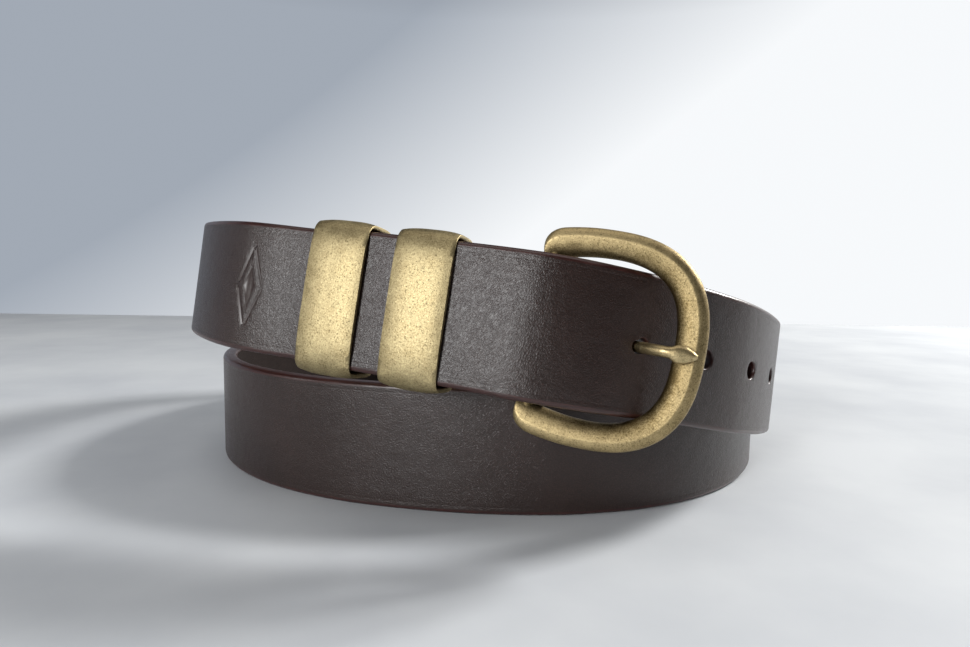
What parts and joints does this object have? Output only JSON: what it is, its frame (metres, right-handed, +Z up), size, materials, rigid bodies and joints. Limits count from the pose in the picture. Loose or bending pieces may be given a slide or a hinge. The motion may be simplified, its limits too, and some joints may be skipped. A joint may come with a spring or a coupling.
{
  "type": "leather belt",
  "caption": "Buckled leather dress belt coiled on edge, with a horseshoe buckle, a prong, metal keepers and screws that hold its folded end.",
  "frame": {"origin": "middle of the underside of the bounding box, on the surface that the coil stands on", "axes": "+Z up, out of the coil; -Y towards the front, where the buckle is; +X to the right as seen from the front"},
  "size_m": [0.1944, 0.2052, 0.0731],
  "materials": {
    "strap_leather": "dark brown bridle leather, waxed grain, burnished edges",
    "antique_brass": "antiqued brass, tumbled satin, darkened in the hollows",
    "prong_brass": "antiqued brass, worn bright on the head",
    "keeper_brass": "antiqued brass strip, tumbled satin",
    "screw_brass": "turned brass, satin"
  },
  "bodies": {
    "strap": {"leather_strap": "strap_leather", "screw_post_1": "screw_brass", "screw_1": "screw_brass", "screw_post_2": "screw_brass", "screw_2": "screw_brass"},
    "buckle": {"buckle_frame": "antique_brass"},
    "prong": {"prong": "prong_brass"},
    "keeper_near": {"keeper_near": "keeper_brass"},
    "keeper_far": {"keeper_far": "keeper_brass"}
  },
  "joints": [
    {"name": "buckle_swing", "type": "hinge", "parent": "strap", "child": "buckle", "pos_m": [0.0098, -0.09038, 0.04786], "axis": [-0.1725, -0.0947, -0.9804], "range_deg": [0, 2.4]},
    {"name": "prong_lift", "type": "hinge", "parent": "buckle", "child": "prong", "pos_m": [0.0098, -0.09038, 0.04786], "axis": [-0.1725, -0.0947, -0.9804], "range_deg": [0, 1.5]},
    {"name": "keeper_near_slide", "type": "slide", "parent": "strap", "child": "keeper_near", "axis": [0.9527, -0.2877, -0.0976], "range_m": [-0.0008, 0.0018]},
    {"name": "keeper_far_slide", "type": "slide", "parent": "strap", "child": "keeper_far", "axis": [-0.9527, 0.2877, 0.0976], "range_m": [0, 0.02]}
  ]
}
